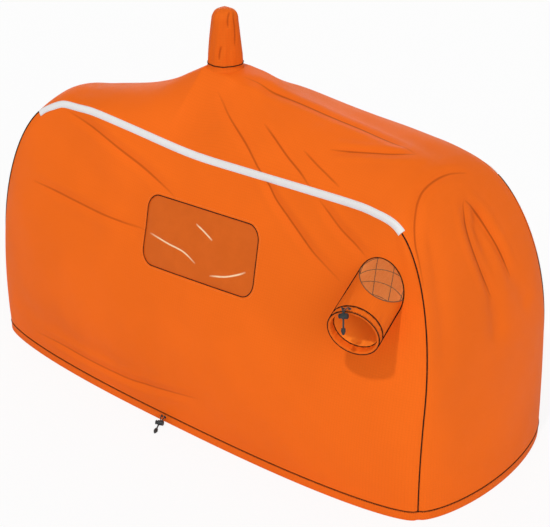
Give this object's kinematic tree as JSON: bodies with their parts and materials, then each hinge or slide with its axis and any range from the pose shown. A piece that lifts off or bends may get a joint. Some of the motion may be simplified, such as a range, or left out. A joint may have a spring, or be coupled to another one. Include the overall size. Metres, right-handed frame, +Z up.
{
  "type": "emergency tent",
  "caption": "Frameless group shelter: a fabric bag with an open base, a pole pocket, a window, a drawcord vent sleeve and a drawcord hem.",
  "frame": {"origin": "on the ground under the middle of the fabric's box, measured without the free cords", "axes": "+Z up, +X along the shelter's length towards the end with the vent, and the front panel with the window faces -Y"},
  "size_m": [1.411, 0.7201, 0.9215],
  "materials": {
    "shell": "matt coated ripstop",
    "hem": "matt coated ripstop, folded and stitched",
    "window": "clear orange film",
    "strip": "satin reflective tape",
    "net": "fine net",
    "cord": "braided",
    "lock": "satin moulded",
    "spring": "bright wire",
    "eyelet": "dark oxidised"
  },
  "bodies": {
    "bag": {"front_panel": "shell", "rear_panel": "shell", "roof_band": "shell", "base_hem": "hem", "peak_pocket": "shell", "window_film": "window", "reflective_strip_front": "strip", "reflective_strip_rear": "strip", "vent_sleeve": "shell", "vent_mesh": "net", "vent_hem": "hem", "vent_drawcord": "cord", "vent_tail_upper": "cord", "vent_tail_lower": "cord", "vent_eyelet_left": "eyelet", "vent_eyelet_right": "eyelet", "vent_cord_end": "lock", "base_drawcord": "cord", "base_tail_upper": "cord", "base_tail_lower": "cord", "base_eyelet_left": "eyelet", "base_eyelet_right": "eyelet", "base_cord_end": "lock"},
    "base_lock": {"base_lock_body": "lock", "base_lock_spring": "spring"},
    "base_plunger": {"base_lock_plunger": "lock"},
    "vent_lock": {"vent_lock_body": "lock", "vent_lock_spring": "spring"},
    "vent_plunger": {"vent_lock_plunger": "lock"}
  },
  "joints": [
    {"name": "base_lock_slide", "type": "slide", "parent": "bag", "child": "base_lock", "axis": [0.4192, -0.9023, -0.1002], "range_m": [0, 0.016]},
    {"name": "base_plunger_press", "type": "slide", "parent": "base_lock", "child": "base_plunger", "axis": [0.9069, 0.4214, 0], "range_m": [0, 0.0025], "stiffness_N_per_m": 400, "springref_m": -0.003, "deforming": ["base_lock_spring"]},
    {"name": "vent_lock_slide", "type": "slide", "parent": "bag", "child": "vent_lock", "axis": [0.304, -0.3816, -0.8729], "range_m": [0, 0.016]},
    {"name": "vent_plunger_press", "type": "slide", "parent": "vent_lock", "child": "vent_plunger", "axis": [0.9508, 0.1793, 0.2527], "range_m": [0, 0.0025], "stiffness_N_per_m": 400, "springref_m": -0.003, "deforming": ["vent_lock_spring"]}
  ]
}
